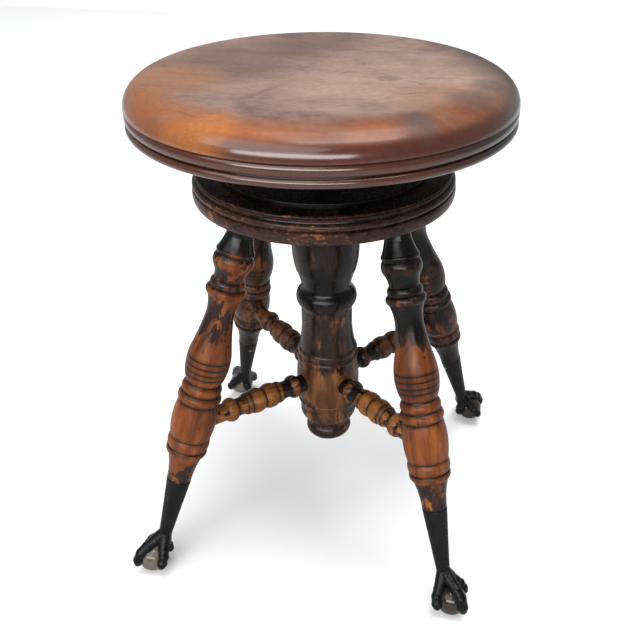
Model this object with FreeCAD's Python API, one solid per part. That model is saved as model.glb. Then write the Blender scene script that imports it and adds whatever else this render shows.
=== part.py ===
import FreeCAD, Part
import math
import os

from FreeCAD import Vector

# Revolving piano stool with cast claw feet holding glass balls.
# Millimetres, Z up. The origin is on the floor under the middle of the column, and the
# front of the stool faces -Y. The seat is drawn at the height that the photograph shows.

os.makedirs("parts", exist_ok=True)

# Seat, turned from one thick round of hardwood.
seat_radius = 178.0
seat_underside_z = 449.5
seat_lower_bead = 7.2
seat_upper_bead = 9.9
seat_bead_swell = 2.2
seat_groove_height = 1.3
seat_groove_depth = 4.5
seat_edge_height = 23.0
seat_edge_width = 30.0

# Round block that takes the column, the legs and the nut.
block_radius = 126.0
block_underside_z = 376.0
block_thickness = 26.5
block_table_radius = 101.5
block_table_height = 2.5

# Legs, splayed, with a round tenon at the top and a tapered spigot at the foot.
LEG_NAMES = ("front_left", "front_right", "back_right", "back_left")
leg_top_circle = 96.0
leg_top_lead = 8.1
leg_neck_radius = 12.4
leg_tenon_depth = 19.0
spigot_mouth_radius = 9.8
spigot_end_radius = 7.0
spigot_length = 32.0
glue_gap = 0.1

# Glass balls and the cast iron feet that hold them.
ball_radius = 15.0
ball_worn_flat_radius = 3.0
ball_circle = 220.0
ankle_inset = 7.5
foot_height = 96.2
foot_mouth_radius = 12.2
foot_ankle_radius = 6.7
foot_ankle_rise = 30.5
foot_knob_radius = 8.6
foot_knob_rise = 21.0
talon_count = 4
talon_root_radius = 4.9
talon_tip_radius = 2.7
talon_seat = 0.3
talon_knuckle_count = 3
talon_knuckle_swell = 0.45
talon_first_knuckle = 0.34
talon_knuckle_pitch = 0.24
talon_tip_elevation = -20.0
ball_clearance = 0.15

# Wood screw that fixes each foot from its inner side.
foot_screw_drop = 10.0
foot_screw_head_radius = 3.4
foot_screw_head_height = 2.0
foot_screw_shank_radius = 1.7
foot_screw_length = 12.0
screw_play = 0.05

# Centre column.
column_top_radius = 33.2
column_tenon_radius = 26.0
column_tenon_length = 14.0
column_bore_radius = 15.2
column_bore_spare = 6.0

# Turned stretchers between the column and the legs.
stretcher_end_radius = 9.2
stretcher_rise = 8.9
stretcher_below_barrel_middle = 8.0
stretcher_turned_start = 40.0
stretcher_column_tenon = 20.0
stretcher_leg_tenon = 15.0

# Lift screw, its stop collar and its nut.
screw_radius = 11.11
screw_pitch = 6.35
turns_up = 16
turns_down = 2
nut_running_clearance = 0.08
nut_flange_radius = 34.0
nut_flange_thickness = 4.0
nut_barrel_radius = 16.5
nut_barrel_length = 65.0
nut_screw_circle = 25.5
nut_screw_count = 4
nut_stop_gap = 0.6
collar_radius = 14.0
collar_thickness = 5.5
collar_spigot_radius = 6.0
collar_running_clearance = 0.05
collar_end_play = 0.3
collar_rivet_radius = 8.5
collar_rivet_height = 3.0

# Cast plate under the seat, its wood screws and the pin through its hub.
plate_radius = 56.0
plate_thickness = 5.0
plate_screw_circle = 44.0
plate_screw_count = 4
hub_top_radius = 22.0
hub_bottom_radius = 18.0
hub_length = 20.5
rib_count = 4
rib_thickness = 5.0
rib_reach = 40.0
rib_drop = 14.0
hub_pin_radius = 3.0
hub_pin_drop = 11.0

# Countersunk wood screws for the plate and the nut flange.
wood_screw_head_radius = 4.4
wood_screw_head_height = 2.6
wood_screw_shank_radius = 2.2
wood_screw_length = 17.0

# Heights and angles that follow from the sizes above.
seat_rim_z = seat_underside_z + seat_lower_bead + seat_upper_bead + 2 * seat_groove_height
seat_top_z = seat_rim_z + seat_edge_height
leg_count = len(LEG_NAMES)
block_top_z = block_underside_z + block_thickness
block_table_z = block_top_z + block_table_height
ball_centre_z = math.sqrt(ball_radius**2 - ball_worn_flat_radius**2)
leg_top = Vector(leg_top_circle, 0, block_underside_z)
leg_top = FreeCAD.Rotation(Vector(0, 0, 1), leg_top_lead).multVec(leg_top)
leg_foot = Vector(ball_circle - ankle_inset, 0, ball_centre_z)
leg_run = math.hypot(leg_foot.x - leg_top.x, leg_foot.y - leg_top.y)
leg_heading = math.degrees(math.atan2(leg_foot.y - leg_top.y, leg_foot.x - leg_top.x))
leg_drop = block_underside_z - ball_centre_z
leg_tilt = math.degrees(math.atan2(leg_run, leg_drop))
leg_axis_length = math.hypot(leg_run, leg_drop)
leg_turned_length = leg_axis_length - foot_height
lift_up = turns_up * screw_pitch
lift_down = turns_down * screw_pitch
nut_flange_top_z = block_table_z + nut_flange_thickness
nut_bottom_z = block_table_z - nut_barrel_length
collar_top_z = nut_bottom_z - nut_stop_gap - lift_up
screw_shoulder_z = collar_top_z + collar_end_play
collar_bottom_z = collar_top_z - collar_thickness
rivet_top_z = collar_bottom_z - collar_end_play
screw_end_z = rivet_top_z - collar_rivet_height
bore_bottom_z = screw_end_z - lift_down - column_bore_spare
hub_top_z = seat_underside_z - plate_thickness
screw_top_z = seat_underside_z

# Turned members from the top down: length, radius half way along, radius at the end.
# A member with no middle radius is a plain cone or cylinder.
LEG_ABOVE_NECK = (
    (5.0, None, 12.4),      # straight neck where the block cuts across it
    (12.0, 12.2, 12.7),     # neck
    (13.5, 14.5, 17.0),     # flare
    (4.0, 18.0, 17.2),      # small bead
    (1.3, None, 17.2),      # fillet
    (13.0, 19.2, 17.1),     # barrel bead
    (11.4, 14.8, 14.3),     # scotia
    (7.2, 16.5, 16.4),      # small bead
    (0.9, None, 16.4),      # quirk
    (8.9, 19.1, 16.6),      # ring bead
)
LEG_VASE = (
    (32.0, 16.3, 19.7),     # rise of the vase
    (27.0, 21.3, 20.1),     # belly
    (9.0, 18.9, 16.6),      # turn in
    (1.2, None, 17.0),      # quirk
    (9.6, 19.6, 18.3),      # bead
    (1.0, None, 18.5),      # quirk
    (9.2, 21.2, 19.5),      # bead
    (2.0, None, 19.7),      # fillet
)
LEG_BARREL = (38.0, 21.9, 20.0)
LEG_BELOW_BARREL = (
    (1.4, None, 19.3),      # quirk
    (11.9, 20.8, 19.2),     # ring
    (8.5, 20.2, 17.4),      # ring
    (29.8, 13.7, 12.2),     # long hollow down to the foot
    (1.5, 12.0, 11.3),      # rounded edge over the casting
)
LEG_LONG_NECK_RADII = (13.6, 13.9)

COLUMN_UPPER = (
    (62.0, 34.9, 34.2),     # bulb
    (22.0, 33.4, 31.2),     # shoulder
    (19.0, 27.7, 25.5),     # hollow
    (6.5, 26.5, 28.9),      # turn out
    (16.5, 31.5, 28.2),     # ring bead
    (3.5, None, 26.7),      # fillet
)
COLUMN_LOWER = (
    (25.0, 27.8, 30.0),     # flare under the drum
    (8.0, 31.9, 31.0),      # bead
    (1.5, None, 31.2),      # quirk
    (6.0, 32.8, 31.9),      # bead
    (1.0, None, 31.7),      # quirk
)
COLUMN_BARREL = (49.0, 33.7, 32.2)
COLUMN_BELOW_BARREL = (
    (5.0, 32.9, 31.4),      # bead
    (6.5, None, 30.5),      # taper
    (1.0, None, 29.6),      # quirk
    (14.0, 30.4, 26.6),     # bead
    (10.0, 21.7, 22.6),     # neck
    (14.5, 24.6, 19.5),     # button at the end
)

# Rim of the block from the edge of its top down: the last but one member, a plain band,
# takes up what is left of the thickness. Radii are given as distances inside the rim.
BLOCK_RIM = (
    (1.4, 3.6, 3.2),        # worn arris
    (5.3, 4.9, 4.4),        # hollow
    (0.4, None, 2.6),       # step
    (6.2, 0.6, 2.0),        # bead
    (0.8, None, 2.5),       # quirk
    (0.8, None, 0.8),       # quirk
)
BLOCK_RIM_START = 4.6
BLOCK_BAND = (0.0, 0.9)
BLOCK_FOOT = (2.0, 1.6, 3.4)
BLOCK_TABLE_ROUND = 1.0

# Half of a stretcher from its end collar to the groove in its middle.
STRETCHER_HALF = (
    (12.0, 12.4, 9.6),      # end bead
    (10.0, 9.1, 10.4),      # neck
    (5.5, 11.4, 10.7),      # ring
    (15.5, 13.1, 10.9),     # fat bead
)
STRETCHER_GROOVE = 1.2


def length_of(members):
    return sum(member[0] for member in members)


def spin(edges):
    """Solid of revolution about Z from the edges of a closed outline in the XZ plane."""
    face = Part.Face(Part.Wire(edges))
    return face.revolve(Vector(0, 0, 0), Vector(0, 0, 1), 360)


def point(radius, z):
    return Vector(radius, 0, z)


def line(start, end):
    return Part.LineSegment(start, end).toShape()


def arc(start, middle, end):
    return Part.Arc(start, middle, end).toShape()


def round_over(start, corner, end):
    """Quarter of an ellipse from start to end, tangent to the two sides of the corner."""
    share = 4 / 3 * (math.sqrt(2) - 1)
    curve = Part.BezierCurve()
    curve.setPoles([start, start + (corner - start) * share, end + (corner - end) * share, end])
    return curve.toShape()


def members_down(here, members):
    """Edges of an outline that works down from a point through the turned members."""
    edges = []
    for length, middle_radius, end_radius in members:
        there = point(end_radius, here.z - length)
        if middle_radius is None:
            edges.append(line(here, there))
        else:
            edges.append(arc(here, point(middle_radius, here.z - length / 2), there))
        here = there
    return edges


def turned(start_radius, members, top_z=0.0, top_edges=None):
    """Turned solid: its top edges, then its members from there down, closed on the axis."""
    top = top_edges or [line(point(0, top_z), point(start_radius, top_z))]
    side = members_down(point(start_radius, top_z), members)
    head = top[0].Vertexes[0].Point
    foot_z = top_z - length_of(members)
    foot = point(members[-1][2], foot_z)
    close = [line(foot, point(0, foot_z)), line(point(0, foot_z), head)]
    return spin(top + side + close)


def cylinder(radius, bottom_z, top_z):
    return Part.makeCylinder(radius, top_z - bottom_z, point(0, bottom_z))


def around(shape, angle):
    """Copy of a shape turned about the stool's own axis."""
    copy = shape.copy()
    copy.rotate(Vector(0, 0, 0), Vector(0, 0, 1), angle)
    return copy


def leg_angle(i):
    """Legs stand at the corners, counted from the front left one."""
    return 225 + 360 / leg_count * i


def onto_leg_axis(shape):
    """Move a shape drawn about Z, hanging from z = 0, onto the axis of the leg at +X."""
    copy = shape.copy()
    copy.rotate(Vector(0, 0, 0), Vector(0, 1, 0), -leg_tilt)
    copy.rotate(Vector(0, 0, 0), Vector(0, 0, 1), leg_heading)
    copy.translate(leg_top)
    return copy


def on_leg_axis(along):
    """Point of the leg's axis at a distance down from the block's underside."""
    return leg_top + (leg_foot - leg_top) * (along / leg_axis_length)


def save(shape, node):
    shape.exportStep(os.path.join("parts", node + ".step"))


def compound_around(shape, count, first_angle):
    step = 360 / count
    return Part.makeCompound([around(shape, first_angle + step * i) for i in range(count)])


def leg_members():
    """All members of a leg: the long neck under the ring bead takes up the length left."""
    fixed = LEG_ABOVE_NECK + LEG_VASE + (LEG_BARREL,) + LEG_BELOW_BARREL
    long_neck = leg_turned_length - length_of(fixed)
    neck = (long_neck,) + LEG_LONG_NECK_RADII
    return LEG_ABOVE_NECK + (neck,) + LEG_VASE + (LEG_BARREL,) + LEG_BELOW_BARREL


def spigot(gap):
    top = -leg_turned_length
    return Part.makeCone(
        spigot_mouth_radius + gap,
        spigot_end_radius + gap,
        spigot_length + gap,
        point(0, top),
        Vector(0, 0, -1),
    )


def leg_tenon():
    return cylinder(leg_neck_radius, 0, leg_tenon_depth)


def leg_mortise():
    """Slanting hole for a leg, long enough below to clear the block's flat underside."""
    return cylinder(leg_neck_radius + glue_gap, -leg_neck_radius, leg_tenon_depth + glue_gap)


def foot_screw(play):
    """Screw through the inner side of the socket, drawn in the leg's upright frame."""
    z = -leg_turned_length - foot_screw_drop
    share = foot_screw_drop / (foot_height - foot_ankle_rise)
    wall_radius = foot_mouth_radius - (foot_mouth_radius - foot_ankle_radius) * share
    inwards = Vector(1, 0, 0)
    seat = Vector(-wall_radius, 0, z)
    head = Part.makeCone(
        foot_screw_head_radius + play,
        foot_screw_shank_radius + play,
        foot_screw_head_height,
        seat,
        inwards,
    )
    shank = Part.makeCylinder(foot_screw_shank_radius + play, foot_screw_length + play, seat, inwards)
    return head.fuse(shank).removeSplitter()


def stretcher_end_on_leg():
    """Point where the stretcher's axis meets the leg's, in the leg's barrel."""
    below = length_of(LEG_BELOW_BARREL) + LEG_BARREL[0] / 2
    return on_leg_axis(leg_turned_length - below + stretcher_below_barrel_middle)


stretcher_leg_end = stretcher_end_on_leg()
stretcher_leg_radius = math.hypot(stretcher_leg_end.x, stretcher_leg_end.y)
stretcher_column_z = stretcher_leg_end.z - stretcher_rise
stretcher_lead = math.degrees(math.atan2(stretcher_leg_end.y, stretcher_leg_end.x))


def stretcher_members(column_tenon_end, leg_tenon_end):
    """Members from the column end out to the leg end, the same both ways from the middle."""
    half = STRETCHER_HALF
    back = []
    radii = [stretcher_end_radius] + [member[2] for member in half]
    for member, start_radius in zip(reversed(half), reversed(radii[:-1])):
        back.append((member[0], member[1], start_radius))
    groove = (STRETCHER_GROOVE, None, half[-1][2])
    turned_length = 2 * length_of(half) + STRETCHER_GROOVE
    first = (stretcher_turned_start - column_tenon_end, None, stretcher_end_radius)
    last_length = leg_tenon_end - stretcher_turned_start - turned_length
    last = (last_length, None, stretcher_end_radius)
    return (first,) + half + (groove,) + tuple(back) + (last,)


def stretcher_axis_length():
    return math.hypot(stretcher_leg_radius, stretcher_rise)


def along_stretcher(shape):
    """Lay a shape that hangs from z = 0 along the axis of the stretcher to the leg at +X."""
    slope = math.degrees(math.atan2(stretcher_rise, stretcher_leg_radius))
    copy = shape.copy()
    copy.rotate(Vector(0, 0, 0), Vector(0, 1, 0), -90 - slope)
    copy.translate(point(0, stretcher_column_z))
    return around(copy, stretcher_lead)


def stretcher_ends():
    """Distances along the stretcher's axis of its two tenon ends."""
    inner = COLUMN_BARREL[1] - stretcher_column_tenon
    outer = stretcher_axis_length() - LEG_BARREL[1] + stretcher_leg_tenon
    return inner, outer


def stretcher():
    inner, outer = stretcher_ends()
    members = stretcher_members(inner, outer)
    return along_stretcher(turned(stretcher_end_radius, members, -inner))


def stretcher_holes():
    """Clearance shape of a stretcher's two tenons, for cutting the column and the leg."""
    inner, outer = stretcher_ends()
    rod = cylinder(stretcher_end_radius + glue_gap, -outer - glue_gap, -inner + glue_gap)
    return along_stretcher(rod)


def leg():
    shape = turned(leg_neck_radius, leg_members())
    shape = shape.fuse([spigot(0), leg_tenon()]).removeSplitter()
    shape = shape.cut(foot_screw(screw_play))
    return onto_leg_axis(shape).cut(stretcher_holes())


def foot_shank():
    """Hollow socket that tapers to the ankle and ends in the knob over the ball."""
    members = (
        (foot_height - foot_ankle_rise, None, foot_ankle_radius),
        (foot_ankle_rise - foot_knob_rise, foot_ankle_radius, foot_knob_radius),
    )
    return turned(foot_mouth_radius, members, -leg_turned_length)


def ball_centre():
    return point(ball_circle, ball_centre_z)


def knob_centre():
    return on_leg_axis(leg_axis_length - foot_knob_rise)


def talon_radius(share):
    """Radius of a talon along its length: a steady taper with three swelling knuckles."""
    taper = talon_root_radius + (talon_tip_radius - talon_root_radius) * share
    phase = (share - talon_first_knuckle) / talon_knuckle_pitch
    return taper + talon_knuckle_swell * math.cos(2 * math.pi * phase)


def talon(turn):
    """One talon, bent over the ball from the knob to its tip below the ball's middle.

    It is lofted through rings at its ends, its knuckles and the hollows before them.
    """
    middle = ball_centre()
    root = (knob_centre() - middle).normalize()
    elevation = math.radians(talon_tip_elevation)
    flat = Vector(math.cos(math.radians(turn)), math.sin(math.radians(turn)), 0)
    tip = flat * math.cos(elevation) + Vector(0, 0, math.sin(elevation))
    bend_axis = root.cross(tip).normalize()
    bend = math.degrees(root.getAngle(tip))
    half_pitch = talon_knuckle_pitch / 2
    shares = [0.0]
    for i in range(2 * talon_knuckle_count):
        shares.append(talon_first_knuckle + half_pitch * (i - 1))
    shares.append(1.0)
    rings = []
    for share in shares:
        radius = talon_radius(share)
        turner = FreeCAD.Rotation(bend_axis, bend * share)
        outwards = turner.multVec(root)
        centre = middle + outwards * (ball_radius + talon_seat * radius)
        ring = Part.Circle(centre, bend_axis.cross(outwards), radius).toShape()
        rings.append(Part.Wire([ring]))
    return Part.makeLoft(rings, True, True)


def claw_foot():
    knob = Part.makeSphere(foot_knob_radius, knob_centre())
    talons = [talon(360 / talon_count * i) for i in range(talon_count)]
    shape = onto_leg_axis(foot_shank()).fuse([knob] + talons)
    hollow = Part.makeSphere(ball_radius + ball_clearance, ball_centre())
    socket = onto_leg_axis(spigot(glue_gap).fuse(foot_screw(screw_play)))
    return shape.cut([hollow, socket])


def glass_ball():
    """Ball with a small flat where it has worn on the floor."""
    ball = Part.makeSphere(ball_radius, ball_centre())
    below_floor = Part.makeCylinder(ball_radius, ball_radius, Vector(ball_circle, 0, -ball_radius))
    return ball.cut(below_floor)


def block_top_edges():
    """Raised table with a rounded edge, then the flat ring out to the rim."""
    edge = point(block_table_radius, block_table_z)
    start = edge - point(BLOCK_TABLE_ROUND, 0)
    end = edge - point(0, BLOCK_TABLE_ROUND)
    step = point(block_table_radius, block_top_z)
    rim = point(block_radius - BLOCK_RIM_START, block_top_z)
    return [
        line(point(0, block_table_z), start),
        round_over(start, edge, end),
        line(end, step),
        line(step, rim),
    ]


def block_rim():
    """Rim members with their real radii, from the edge of the top to the underside."""
    band = block_thickness - length_of(BLOCK_RIM) - BLOCK_FOOT[0]
    members = []
    for length, middle, end in BLOCK_RIM + ((band,) + BLOCK_BAND, BLOCK_FOOT):
        middle_radius = None if middle is None else block_radius - middle
        members.append((length, middle_radius, block_radius - end))
    return members


def block():
    """Round block with a raised table on top, a moulded rim and its mortises."""
    shape = turned(block_radius - BLOCK_RIM_START, block_rim(), block_top_z, block_top_edges())
    tenon_top = block_underside_z + column_tenon_length + glue_gap
    cuts = [
        cylinder(column_tenon_radius + glue_gap, block_underside_z, tenon_top),
        cylinder(nut_barrel_radius + glue_gap, block_underside_z, block_table_z),
    ]
    mortise = onto_leg_axis(leg_mortise())
    for i in range(leg_count):
        cuts.append(around(mortise, leg_angle(i)))
    for i in range(nut_screw_count):
        cuts.append(around(nut_screw(screw_play), nut_screw_angle(i)))
    return shape.cut(cuts)


def column_members():
    """Members of the column: the plain shaft sets the drum level with the stretchers."""
    fixed = length_of(COLUMN_UPPER) + length_of(COLUMN_LOWER) + COLUMN_BARREL[0] / 2
    shaft = block_underside_z - stretcher_column_z - fixed
    plain = (shaft, None, COLUMN_UPPER[-1][2])
    return COLUMN_UPPER + (plain,) + COLUMN_LOWER + (COLUMN_BARREL,) + COLUMN_BELOW_BARREL


def column():
    shape = turned(column_top_radius, column_members(), block_underside_z)
    top = block_underside_z + column_tenon_length
    shape = shape.fuse(cylinder(column_tenon_radius, block_underside_z, top)).removeSplitter()
    seat_of_nut = cylinder(nut_barrel_radius + glue_gap, nut_bottom_z, top)
    bore = cylinder(column_bore_radius, bore_bottom_z, nut_bottom_z)
    holes = [around(stretcher_holes(), leg_angle(i)) for i in range(leg_count)]
    return shape.cut([seat_of_nut, bore] + holes)


def wood_screw(play):
    """Countersunk screw pointing down from its flat head at z = 0."""
    down = Vector(0, 0, -1)
    head = Part.makeCone(
        wood_screw_head_radius + play,
        wood_screw_shank_radius + play,
        wood_screw_head_height,
        Vector(0, 0, 0),
        down,
    )
    shank = Part.makeCylinder(
        wood_screw_shank_radius + play,
        wood_screw_length + play,
        Vector(0, 0, 0),
        down,
    )
    return head.fuse(shank).removeSplitter()


def nut_screw(play):
    screw = wood_screw(play)
    screw.translate(point(nut_screw_circle, nut_flange_top_z))
    return screw


def nut_screw_angle(i):
    return 360 / nut_screw_count * i


def nut_flange():
    flange = cylinder(nut_flange_radius, block_table_z, nut_flange_top_z)
    barrel = cylinder(nut_barrel_radius, nut_bottom_z, block_table_z)
    bore = cylinder(screw_radius + nut_running_clearance, nut_bottom_z, nut_flange_top_z)
    screws = [around(nut_screw(screw_play), nut_screw_angle(i)) for i in range(nut_screw_count)]
    return flange.fuse(barrel).removeSplitter().cut([bore] + screws)


def plate_screw(play):
    """Screw up through the plate into the seat."""
    screw = wood_screw(play)
    screw.rotate(Vector(0, 0, 0), Vector(1, 0, 0), 180)
    screw.translate(point(plate_screw_circle, hub_top_z))
    return screw


def plate_screw_angle(i):
    return 360 / plate_screw_count * (i + 0.5)


def hub_pin(radius):
    """Pin across the hub and the screw, half way between two ribs."""
    reach = hub_top_radius - (hub_top_radius - hub_bottom_radius) * hub_pin_drop / hub_length
    z = hub_top_z - hub_pin_drop
    pin = Part.makeCylinder(radius, 2 * reach, Vector(-reach, 0, z), Vector(1, 0, 0))
    return around(pin, 180 / rib_count)


def rib():
    """Flat tapered rib from the hub out under the plate."""
    low = hub_top_z - rib_drop
    corners = [
        Vector(0, -rib_thickness / 2, hub_top_z),
        Vector(rib_reach, -rib_thickness / 2, hub_top_z),
        Vector(hub_bottom_radius, -rib_thickness / 2, low),
        Vector(0, -rib_thickness / 2, low),
    ]
    outline = Part.makePolygon(corners + corners[:1])
    return Part.Face(outline).extrude(Vector(0, rib_thickness, 0))


def seat_plate():
    plate = cylinder(plate_radius, hub_top_z, seat_underside_z)
    down = Vector(0, 0, -1)
    hub = Part.makeCone(hub_top_radius, hub_bottom_radius, hub_length, point(0, hub_top_z), down)
    ribs = [around(rib(), 360 / rib_count * i) for i in range(rib_count)]
    shape = plate.fuse([hub] + ribs).removeSplitter()
    bore = cylinder(screw_radius + screw_play, hub_top_z - hub_length, seat_underside_z)
    cuts = [bore, hub_pin(hub_pin_radius + screw_play)]
    for i in range(plate_screw_count):
        cuts.append(around(plate_screw(screw_play), plate_screw_angle(i)))
    return shape.cut(cuts)


def lift_screw():
    """Steel screw, with a spigot at its foot riveted over the stop collar."""
    rod = cylinder(screw_radius, screw_shoulder_z, screw_top_z)
    spindle = cylinder(collar_spigot_radius, rivet_top_z, screw_shoulder_z)
    rivet = cylinder(collar_rivet_radius, screw_end_z, rivet_top_z)
    shape = rod.fuse([spindle, rivet]).removeSplitter()
    return shape.cut(hub_pin(hub_pin_radius + screw_play))


def stop_collar():
    ring = cylinder(collar_radius, collar_bottom_z, collar_top_z)
    bore_radius = collar_spigot_radius + collar_running_clearance
    return ring.cut(cylinder(bore_radius, collar_bottom_z, collar_top_z))


def seat_members():
    """Two beads under the round edge of the seat, each below a square groove."""
    bead = seat_radius - seat_bead_swell
    groove = seat_radius - seat_groove_depth
    members = []
    for height in (seat_upper_bead, seat_lower_bead):
        members.append((0.0, None, groove))
        members.append((seat_groove_height, None, groove))
        members.append((0.0, None, bead))
        members.append((height, seat_radius, bead))
    return members


def seat_top_edges():
    """Flat top that turns over in a quarter of an ellipse."""
    flat = point(seat_radius - seat_edge_width, seat_top_z)
    corner = point(seat_radius, seat_top_z)
    return [
        line(point(0, seat_top_z), flat),
        round_over(flat, corner, point(seat_radius, seat_rim_z)),
    ]


def seat():
    """Seat of one solid round, with pilot holes for the screws of the plate."""
    shape = turned(seat_radius, seat_members(), seat_rim_z, seat_top_edges())
    screws = [around(plate_screw(screw_play), plate_screw_angle(i)) for i in range(plate_screw_count)]
    return shape.cut(screws)


save(seat(), "seat")
save(seat_plate(), "seat_plate")
save(compound_around(plate_screw(0), plate_screw_count, plate_screw_angle(0)), "seat_plate_screws")
save(hub_pin(hub_pin_radius), "hub_pin")
save(lift_screw(), "lift_screw")
save(stop_collar(), "stop_collar")
save(nut_flange(), "nut_flange")
save(compound_around(nut_screw(0), nut_screw_count, nut_screw_angle(0)), "nut_flange_screws")
save(block(), "base_block")
save(column(), "centre_column")
foot_screws = compound_around(onto_leg_axis(foot_screw(0)), leg_count, leg_angle(0))
save(foot_screws, "claw_foot_screws")

one_leg = leg()
one_stretcher = stretcher()
one_foot = claw_foot()
one_ball = glass_ball()
for i, name in enumerate(LEG_NAMES):
    save(around(one_leg, leg_angle(i)), "leg_" + name)
    save(around(one_stretcher, leg_angle(i)), "stretcher_" + name)
    save(around(one_foot, leg_angle(i)), "claw_foot_" + name)
    save(around(one_ball, leg_angle(i)), "glass_ball_" + name)
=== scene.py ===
import math

import bmesh
import bpy
from mathutils import Matrix, Vector


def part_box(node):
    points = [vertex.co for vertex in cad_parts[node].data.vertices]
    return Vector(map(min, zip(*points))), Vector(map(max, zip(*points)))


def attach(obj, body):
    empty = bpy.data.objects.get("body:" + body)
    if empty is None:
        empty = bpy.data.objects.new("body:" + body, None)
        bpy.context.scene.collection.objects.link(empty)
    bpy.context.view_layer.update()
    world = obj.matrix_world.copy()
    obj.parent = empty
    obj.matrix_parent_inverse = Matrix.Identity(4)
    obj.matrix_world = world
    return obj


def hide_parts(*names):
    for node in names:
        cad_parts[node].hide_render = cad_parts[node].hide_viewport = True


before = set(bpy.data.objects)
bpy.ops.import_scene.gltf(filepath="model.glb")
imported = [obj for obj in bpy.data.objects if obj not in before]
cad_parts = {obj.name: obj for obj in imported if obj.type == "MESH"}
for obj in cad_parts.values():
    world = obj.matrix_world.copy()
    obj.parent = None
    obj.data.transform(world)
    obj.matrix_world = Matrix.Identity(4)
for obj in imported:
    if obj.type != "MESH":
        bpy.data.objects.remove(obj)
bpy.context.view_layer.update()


# Seat: one thick round of mahogany, turned, then stained and French polished. The polish has
# worn thin and cloudy on top, gone honey brown inside the front edge, and kept its dark gloss
# on the two beads and round the back. It is held by screws from the plate under it.
def linear(hex_colour):
    """Linear colour from an sRGB hex value."""
    channels = [int(hex_colour[i:i + 2], 16) / 255 for i in (1, 3, 5)]
    return (*[c / 12.92 if c <= 0.04045 else ((c + 0.055) / 1.055) ** 2.4 for c in channels], 1.0)


def add(tree, kind, inputs=None, stops=None, **settings):
    """Add a shader node with its settings.

    An input that is a node or a socket is linked, a node by its first output in use. Any
    other input is set. stops are the places of a colour ramp with a hex colour or a grey level.
    """
    node = tree.nodes.new("ShaderNode" + kind)
    for name, value in settings.items():
        setattr(node, name, value)
    for name, value in (inputs or {}).items():
        if isinstance(value, bpy.types.Node):
            value = next(socket for socket in value.outputs if socket.enabled)
        if isinstance(value, bpy.types.NodeSocket):
            tree.links.new(value, node.inputs[name])
        else:
            node.inputs[name].default_value = value
    if stops:
        ramp = node.color_ramp
        while len(ramp.elements) < len(stops):
            ramp.elements.new(0.5)
        for element, (place, colour) in zip(ramp.elements, stops):
            element.position = place
            element.color = linear(colour) if isinstance(colour, str) else (colour,) * 3 + (1.0,)
    return node


def per_metre(millimetres):
    """Scale of a pattern whose forms are this far apart."""
    return 1000 / millimetres


def new_material(name):
    """Empty node material and its tree."""
    material = bpy.data.materials.new(name)
    material.use_nodes = True
    material.node_tree.nodes.clear()
    return material, material.node_tree


def dress(node, material):
    """Give a CAD node its finish."""
    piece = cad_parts[node]
    piece.data.materials.clear()
    piece.data.materials.append(material)


seat_low, seat_high = (corner.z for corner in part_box("seat"))
seat_rim_low = seat_low + 0.0197
seat_roll_start = seat_high - 0.0050
seat_roll_end = seat_high - 0.0132
seat_groove_radius = 0.1745
# Painted shade: the right rim, right bead and groove colours darken the seat where shade falls.
seat_colours = {"haze": "#876d61", "pale haze": "#937a6c", "thin polish": "#9f8475",
                "plum": "#624b45", "tan": "#8f6446", "honey": "#86491d", "dark honey": "#5a2509",
                "amber": "#a8652d", "brown amber": "#8c4e22", "edge amber": "#9c5f31",
                "left rim": "#80471f", "rim": "#43190b", "shaded right rim": "#3a302c",
                "bead": "#48200f", "shaded right bead": "#15110f", "dirt_and_shade_in_grooves": "#0b0807",
                "stain": "#4b3f3b", "scratch": "#4d3226", "bare underside": "#3a2415"}


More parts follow.
